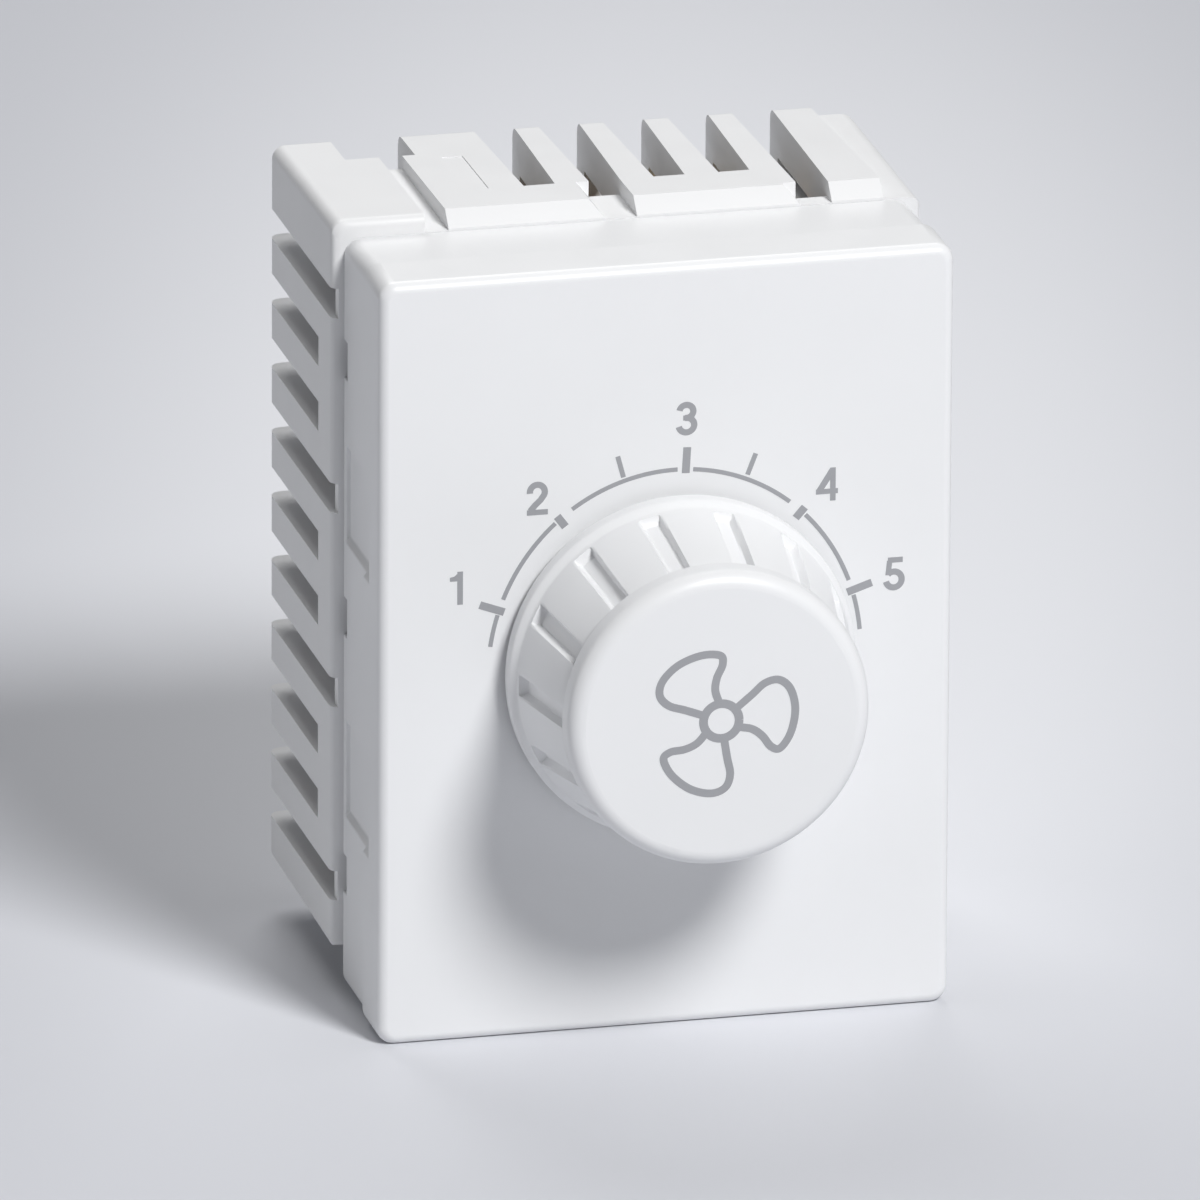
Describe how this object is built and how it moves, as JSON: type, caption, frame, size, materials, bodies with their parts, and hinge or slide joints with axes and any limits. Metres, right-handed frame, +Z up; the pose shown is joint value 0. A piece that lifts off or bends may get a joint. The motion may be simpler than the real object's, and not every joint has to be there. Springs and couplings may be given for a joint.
{
  "type": "fan speed control switch",
  "caption": "White modular wall control for a ceiling fan: rectangular face plate, fluted turning knob and a slotted rear housing around its electronics.",
  "frame": {"origin": "centre of the face, in the plane of the face", "axes": "+X to the right and +Z up as the face is seen on the wall, +Y from the face back into the wall box"},
  "size_m": [0.034, 0.0355, 0.0457],
  "materials": {
    "white_gloss": "smooth moulded white plastic with a soft gloss",
    "white_satin": "satin moulded white plastic",
    "spring_steel": "bare spring steel strip",
    "shaft_metal": "turned aluminium",
    "plated_steel": "zinc plated steel",
    "aluminium_sheet": "rolled aluminium sheet",
    "brass_contact": "stamped brass",
    "brown_laminate": "paper laminate board",
    "dark_moulding": "black moulding compound",
    "ferrite": "dull sintered ferrite",
    "enamelled_copper": "enamelled copper wire",
    "grey_moulding": "grey box moulding",
    "red_moulding": "red dipped film capacitor",
    "beige_coating": "beige lacquer",
    "blue_coating": "blue lacquer"
  },
  "bodies": {
    "case": {"front_plate": "white_gloss", "rear_housing": "white_satin", "threaded_bushing": "shaft_metal", "bushing_nut": "plated_steel", "bushing_washer": "plated_steel", "heat_sink_plate": "aluminium_sheet", "control_case": "plated_steel", "track_wafer": "brown_laminate", "control_pins": "brass_contact", "circuit_board": "brown_laminate", "triac": "dark_moulding", "triac_screw": "plated_steel", "choke_core": "ferrite", "choke_winding": "enamelled_copper", "filter_capacitor": "grey_moulding", "timing_capacitor": "red_moulding", "resistors": "beige_coating", "diac": "blue_coating", "terminal_bars": "brass_contact", "clamp_springs": "spring_steel"},
    "knob": {"knob_body": "white_gloss", "knob_cap": "white_gloss", "knob_spring": "spring_steel", "control_shaft": "shaft_metal", "wiper_carrier": "dark_moulding", "wiper_contact": "brass_contact"}
  },
  "joints": [
    {"name": "knob_turn", "type": "hinge", "parent": "case", "child": "knob", "pos_m": [0.0006, 0, -0.0009], "axis": [0, 1, 0], "range_deg": [-81, 81]}
  ]
}
